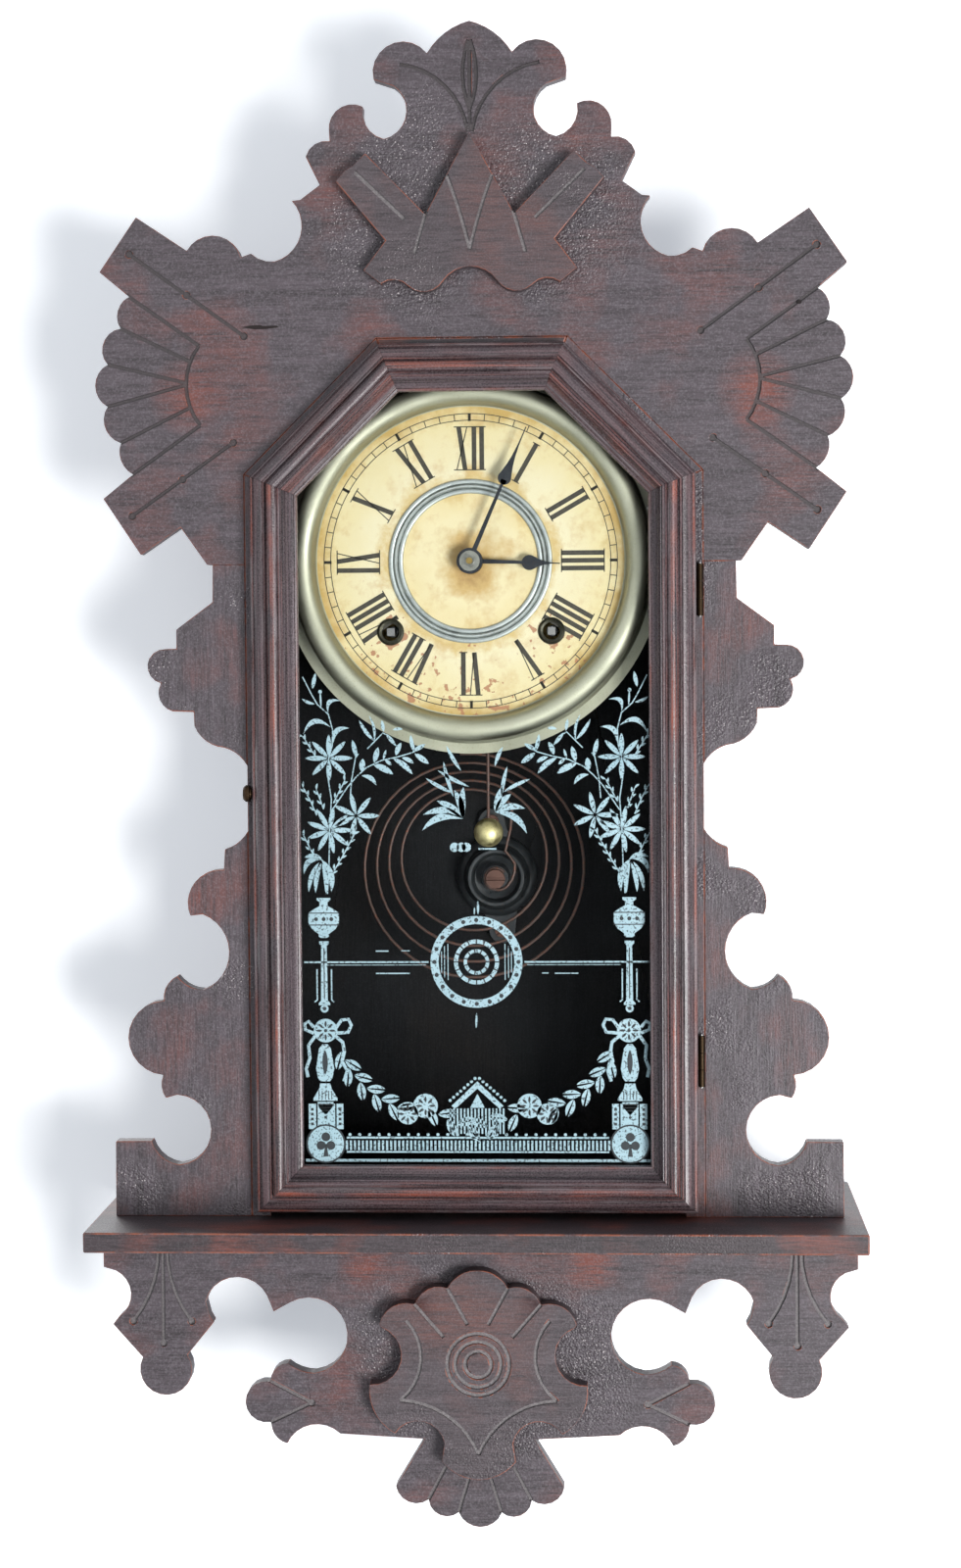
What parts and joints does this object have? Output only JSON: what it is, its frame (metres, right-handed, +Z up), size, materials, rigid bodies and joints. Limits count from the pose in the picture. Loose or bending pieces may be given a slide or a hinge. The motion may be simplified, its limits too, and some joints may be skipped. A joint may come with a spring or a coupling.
{
  "type": "hanging wall clock",
  "caption": "Hanging wall clock with a fretwork case, octagon-topped glazed door, paper dial, short pendulum and a coiled wire gong.",
  "frame": {"origin": "centre of the hanging hole in the plate at the top of the back, on the wall plane", "axes": "+X to the right as seen from the front, +Y back into the wall, +Z up"},
  "size_m": [0.361, 0.13, 0.7057],
  "materials": {
    "case_wood": "old dark varnish, finely crazed",
    "fret_wood": "old dark varnish with rubbed edges",
    "inner_wood": "dark stained, dull",
    "door_wood": "old red-brown varnish with rubbed beads",
    "iron": "japanned black, worn",
    "gong_wire": "brown oxidised steel wire",
    "copper_screws": "coppered, dull",
    "steel": "plain steel",
    "hand_steel": "blued and dulled steel",
    "bezel_metal": "tarnished nickel",
    "dial_paper": "aged cream paper",
    "clock_brass": "old brass",
    "bob_brass": "polished brass ball",
    "glass": "clear old glass",
    "knob_brass": "dark antique brass"
  },
  "bodies": {
    "case": {"back_board": "inner_wood", "case_side_left": "case_wood", "case_side_right": "case_wood", "case_shoulders": "case_wood", "case_top": "case_wood", "shelf": "case_wood", "apron_board": "fret_wood", "shell_overlay": "fret_wood", "crest_board": "fret_wood", "crest_overlay": "fret_wood", "wing_left": "fret_wood", "wing_right": "fret_wood", "glue_blocks": "inner_wood", "dial_battens": "inner_wood", "hanger_plate": "iron", "case_screws": "steel", "gong_base": "iron", "gong_coil": "gong_wire", "gong_screws": "copper_screws", "dial_pan": "bezel_metal", "dial_paper": "dial_paper", "dial_ring": "bezel_metal", "dial_grommets": "bezel_metal", "movement_back_plate": "clock_brass", "movement_front_plate": "clock_brass", "movement_pillars": "clock_brass", "pillar_nuts": "steel", "mainsprings": "steel", "suspension_post": "clock_brass", "case_hinge_leaves": "clock_brass", "hinge_pins": "steel", "catch_keeper": "clock_brass"},
    "door": {"door_stiles": "door_wood", "door_shoulders": "door_wood", "door_rails": "door_wood", "door_glass": "glass", "glass_beads": "inner_wood", "door_hinge_leaves": "clock_brass"},
    "catch": {"catch_knob": "knob_brass"},
    "time_arbor": {"time_winding_arbor": "steel"},
    "strike_arbor": {"strike_winding_arbor": "steel"},
    "time_great": {"time_great_wheel": "clock_brass"},
    "time_second": {"time_second_wheel": "clock_brass"},
    "center": {"center_wheel": "clock_brass", "minute_hand": "hand_steel", "hand_nut": "bezel_metal"},
    "third": {"third_wheel": "clock_brass"},
    "escape": {"escape_wheel": "clock_brass"},
    "minute_work": {"minute_wheel": "clock_brass"},
    "hour": {"hour_wheel": "clock_brass", "hour_hand": "hand_steel"},
    "verge_arm": {"verge": "steel"},
    "pendulum": {"pendulum_rod": "steel", "pendulum_bob": "bob_brass"},
    "strike_great": {"strike_great_wheel": "clock_brass"},
    "strike_second": {"strike_second_wheel": "clock_brass"},
    "strike_third": {"strike_third_wheel": "clock_brass"},
    "strike_fly": {"fly": "clock_brass"},
    "hammer": {"strike_hammer": "steel"}
  },
  "joints": [
    {"name": "door_swing", "type": "hinge", "parent": "case", "child": "door", "pos_m": [0.1054, -0.092, -0.236], "axis": [0, 0, 1], "range_deg": [0, 100]},
    {"name": "catch_turn", "type": "hinge", "parent": "door", "child": "catch", "pos_m": [-0.1, -0.095, -0.226], "axis": [-1, 0, 0], "range_deg": [0, 90]},
    {"name": "minute_hand_turn", "type": "hinge", "parent": "case", "child": "center", "pos_m": [-0.002, -0.045, -0.118], "axis": [0, -1, 0], "continuous": true},
    {"name": "hour_hand_turn", "type": "hinge", "parent": "case", "child": "hour", "pos_m": [-0.002, -0.07, -0.118], "axis": [0, -1, 0], "continuous": true},
    {"name": "minute_wheel_turn", "type": "hinge", "parent": "case", "child": "minute_work", "pos_m": [-0.02004, -0.06, -0.11143], "axis": [0, -1, 0], "continuous": true},
    {"name": "time_great_turn", "type": "hinge", "parent": "case", "child": "time_great", "pos_m": [0.036, -0.0205, -0.151], "axis": [0, -1, 0], "continuous": true},
    {"name": "time_second_turn", "type": "hinge", "parent": "case", "child": "time_second", "pos_m": [0.02684, -0.03, -0.11618], "axis": [0, -1, 0], "continuous": true},
    {"name": "third_turn", "type": "hinge", "parent": "case", "child": "third", "pos_m": [-0.00889, -0.03, -0.09078], "axis": [0, -1, 0], "continuous": true},
    {"name": "escape_turn", "type": "hinge", "parent": "case", "child": "escape", "pos_m": [0.0045, -0.04, -0.0736], "axis": [0, -1, 0], "continuous": true},
    {"name": "pendulum_swing", "type": "hinge", "parent": "case", "child": "pendulum", "pos_m": [0.0045, -0.0535, -0.093], "axis": [0, -1, 0], "range_deg": [-4, 4]},
    {"name": "verge_rock", "type": "hinge", "parent": "case", "child": "verge_arm", "pos_m": [0.0045, -0.05, -0.093], "axis": [0, -1, 0], "range_deg": [-4, 4]},
    {"name": "time_winding", "type": "hinge", "parent": "case", "child": "time_arbor", "pos_m": [0.036, -0.06, -0.151], "axis": [0, -1, 0], "continuous": true},
    {"name": "strike_winding", "type": "hinge", "parent": "case", "child": "strike_arbor", "pos_m": [-0.04, -0.06, -0.151], "axis": [0, -1, 0], "continuous": true},
    {"name": "strike_third_turn", "type": "hinge", "parent": "case", "child": "strike_third", "pos_m": [-0.04213, -0.028, -0.08958], "axis": [0, -1, 0], "continuous": true},
    {"name": "strike_great_turn", "type": "hinge", "parent": "case", "child": "strike_great", "pos_m": [-0.04, -0.0205, -0.151], "axis": [0, -1, 0], "continuous": true},
    {"name": "strike_second_turn", "type": "hinge", "parent": "case", "child": "strike_second", "pos_m": [-0.03084, -0.028, -0.11618], "axis": [0, -1, 0], "continuous": true},
    {"name": "fly_turn", "type": "hinge", "parent": "case", "child": "strike_fly", "pos_m": [-0.02953, -0.035, -0.07607], "axis": [0, -1, 0], "continuous": true},
    {"name": "hammer_strike", "type": "hinge", "parent": "case", "child": "hammer", "pos_m": [-0.006, -0.027, -0.178], "axis": [0, -1, 0], "range_deg": [-20, 0]}
  ],
  "couplings": [
    {"joint": "hour_hand_turn", "follows": "minute_hand_turn", "ratio": 0.083333},
    {"joint": "minute_wheel_turn", "follows": "minute_hand_turn", "ratio": -0.33333},
    {"joint": "time_second_turn", "follows": "minute_hand_turn", "ratio": -0.13333},
    {"joint": "time_great_turn", "follows": "minute_hand_turn", "ratio": 0.014815},
    {"joint": "third_turn", "follows": "minute_hand_turn", "ratio": -12},
    {"joint": "escape_turn", "follows": "minute_hand_turn", "ratio": 120},
    {"joint": "verge_rock", "follows": "pendulum_swing", "ratio": 1},
    {"joint": "strike_second_turn", "follows": "strike_third_turn", "ratio": -0.13333},
    {"joint": "strike_great_turn", "follows": "strike_third_turn", "ratio": 0.014815},
    {"joint": "fly_turn", "follows": "strike_third_turn", "ratio": -8.3333}
  ]
}
